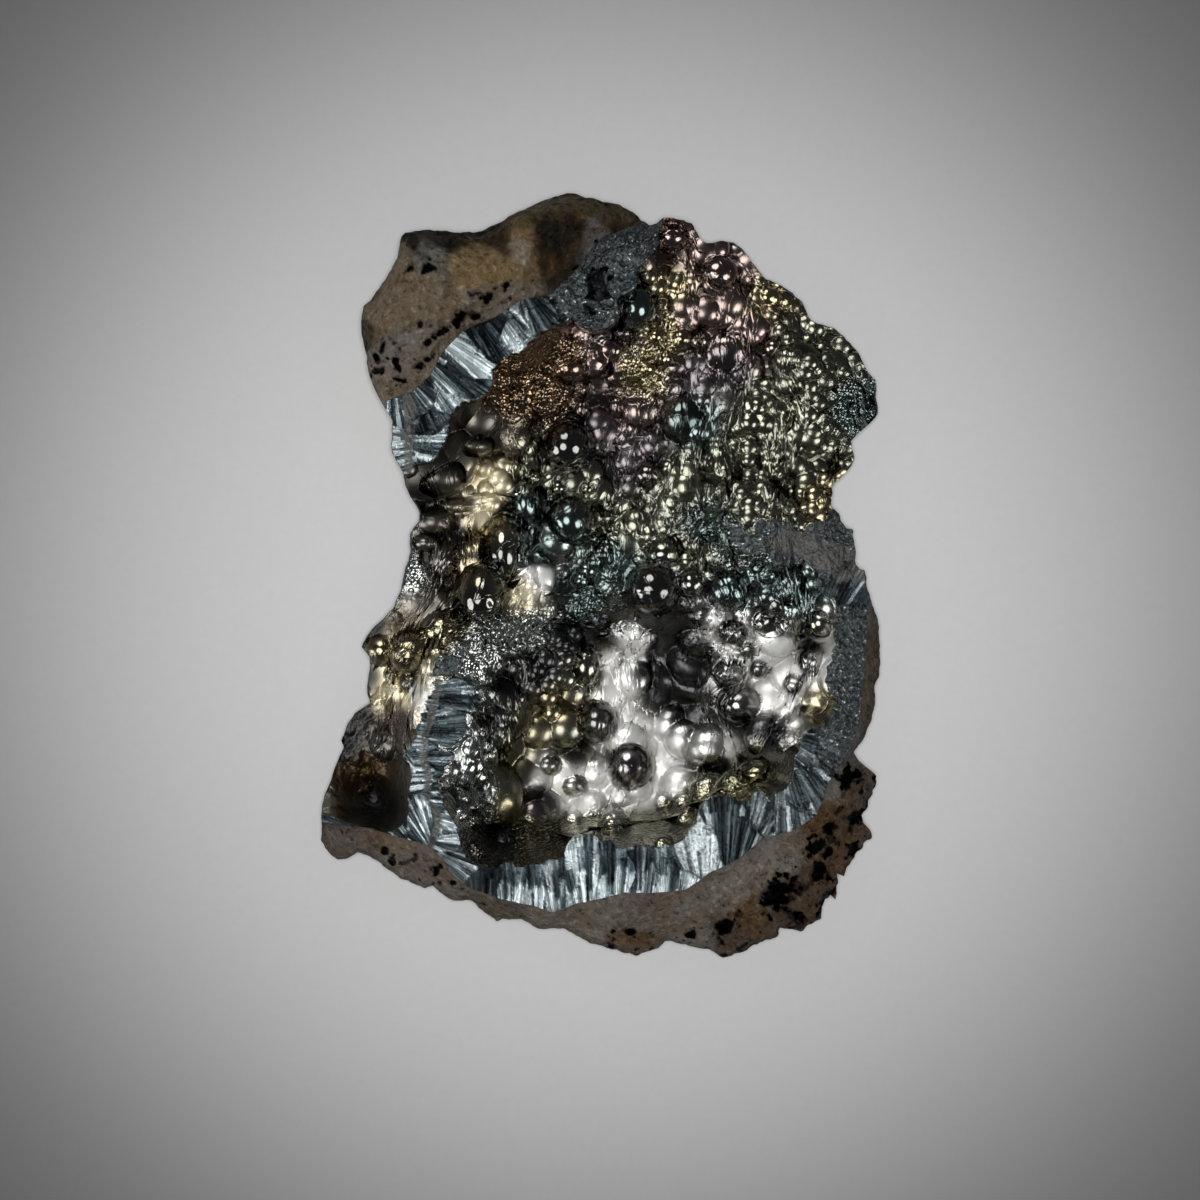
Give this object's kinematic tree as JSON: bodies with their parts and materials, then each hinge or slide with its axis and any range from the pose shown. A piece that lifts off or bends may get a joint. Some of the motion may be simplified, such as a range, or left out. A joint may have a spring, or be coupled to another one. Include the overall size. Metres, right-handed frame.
{
  "type": "goethite specimen",
  "caption": "Botryoidal goethite crust, mirror-black and fibrous where broken, lining the hollows of a brown limonite rock that lies on its back.",
  "frame": {"origin": "centre of the bounding box in plan, on the flat back that the specimen lies on", "axes": "+X across the face to the right, +Y up the face as it is usually shown, +Z out of the face, away from the surface it lies on"},
  "size_m": [0.0727, 0.0988, 0.0343],
  "materials": {
    "limonite": "dull, porous, taupe to rusty brown",
    "goethite": "black mirror skin with a faint bronze, rose and blue tarnish; silky steel-blue fibres on broken edges"
  },
  "bodies": {
    "root": {"limonite_matrix": "limonite", "goethite_crust": "goethite"}
  },
  "joints": []
}
